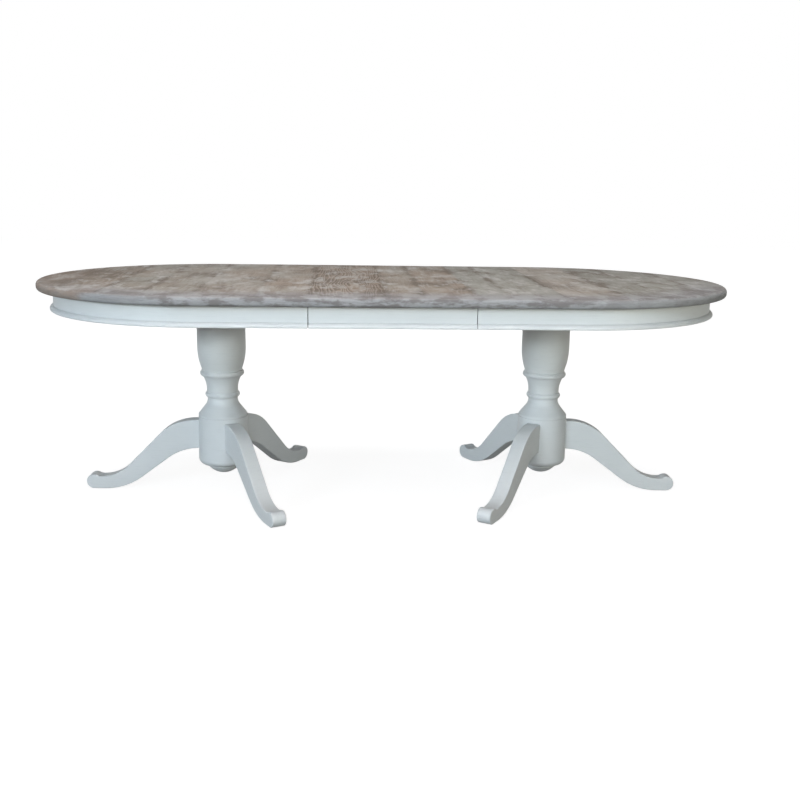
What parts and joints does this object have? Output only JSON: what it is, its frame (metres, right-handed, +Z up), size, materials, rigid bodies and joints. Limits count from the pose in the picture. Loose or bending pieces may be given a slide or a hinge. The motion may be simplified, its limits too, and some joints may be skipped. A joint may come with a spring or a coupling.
{
  "type": "extending pedestal dining table",
  "caption": "Extending oval dining table with a limed wood top, a centre leaf on sliding runners, and turned pale-painted tripod pedestals.",
  "frame": {"origin": "on the floor under the middle of the leaf", "axes": "+X along the table towards the right-hand end, +Y to the back, +Z up"},
  "size_m": [2.312, 1.15, 0.75],
  "materials": {
    "limed_oak": "limed grey-brown oak, matt",
    "pale_paint": "pale grey satin paint",
    "bare_beech": "bare planed wood",
    "zinc_steel": "zinc plated",
    "latch_plate": "yellow zinc plate",
    "nylon": "moulded nylon"
  },
  "bodies": {
    "left_half": {"left_apron": "pale_paint", "left_base_cap": "pale_paint", "left_column": "pale_paint", "left_glides": "nylon", "left_glue_blocks": "bare_beech", "left_inner_bearer": "bare_beech", "left_inner_runner": "bare_beech", "left_latch_pivots": "zinc_steel", "left_leg_back": "pale_paint", "left_leg_bolts": "zinc_steel", "left_leg_front": "pale_paint", "left_leg_nuts": "zinc_steel", "left_leg_outer": "pale_paint", "left_outer_bearer": "bare_beech", "left_outer_runner": "bare_beech", "left_plate_screws": "zinc_steel", "left_runner_screws": "zinc_steel", "left_runner_stops": "bare_beech", "left_tie_rod": "zinc_steel", "left_tie_rod_nuts": "zinc_steel", "left_top": "limed_oak", "left_top_plate": "bare_beech"},
    "right_half": {"right_apron": "pale_paint", "right_base_cap": "pale_paint", "right_column": "pale_paint", "right_glides": "nylon", "right_glue_blocks": "bare_beech", "right_inner_bearer": "bare_beech", "right_inner_runner": "bare_beech", "right_latch_pivots": "zinc_steel", "right_leg_back": "pale_paint", "right_leg_bolts": "zinc_steel", "right_leg_front": "pale_paint", "right_leg_nuts": "zinc_steel", "right_leg_outer": "pale_paint", "right_outer_bearer": "bare_beech", "right_outer_runner": "bare_beech", "right_plate_screws": "zinc_steel", "right_runner_screws": "zinc_steel", "right_runner_stops": "bare_beech", "right_tie_rod": "zinc_steel", "right_tie_rod_nuts": "zinc_steel", "right_top": "limed_oak", "right_top_plate": "bare_beech"},
    "leaf": {"leaf_apron_back": "pale_paint", "leaf_apron_front": "pale_paint", "leaf_batten_left": "bare_beech", "leaf_batten_right": "bare_beech", "leaf_glue_blocks": "bare_beech", "leaf_keepers": "latch_plate", "leaf_screws": "zinc_steel", "leaf_top": "limed_oak"},
    "left_latch_back": {"left_latch_back": "latch_plate"},
    "left_latch_front": {"left_latch_front": "latch_plate"},
    "right_latch_back": {"right_latch_back": "latch_plate"},
    "right_latch_front": {"right_latch_front": "latch_plate"}
  },
  "joints": [
    {"name": "right_half_slide", "type": "slide", "parent": "left_half", "child": "right_half", "axis": [1, 0, 0], "range_m": [0, 0.06]},
    {"name": "leaf_lift", "type": "slide", "parent": "left_half", "child": "leaf", "axis": [0, 0, 1], "range_m": [0, 0.3]},
    {"name": "left_latch_back_turn", "type": "hinge", "parent": "left_half", "child": "left_latch_back", "pos_m": [-0.29, 0.345, 0.718], "axis": [0, 0, -1], "range_deg": [0, 90]},
    {"name": "left_latch_front_turn", "type": "hinge", "parent": "left_half", "child": "left_latch_front", "pos_m": [-0.29, -0.345, 0.718], "axis": [0, 0, 1], "range_deg": [0, 90]},
    {"name": "right_latch_back_turn", "type": "hinge", "parent": "right_half", "child": "right_latch_back", "pos_m": [0.29, 0.345, 0.718], "axis": [0, 0, 1], "range_deg": [0, 90]},
    {"name": "right_latch_front_turn", "type": "hinge", "parent": "right_half", "child": "right_latch_front", "pos_m": [0.29, -0.345, 0.718], "axis": [0, 0, -1], "range_deg": [0, 90]}
  ]
}
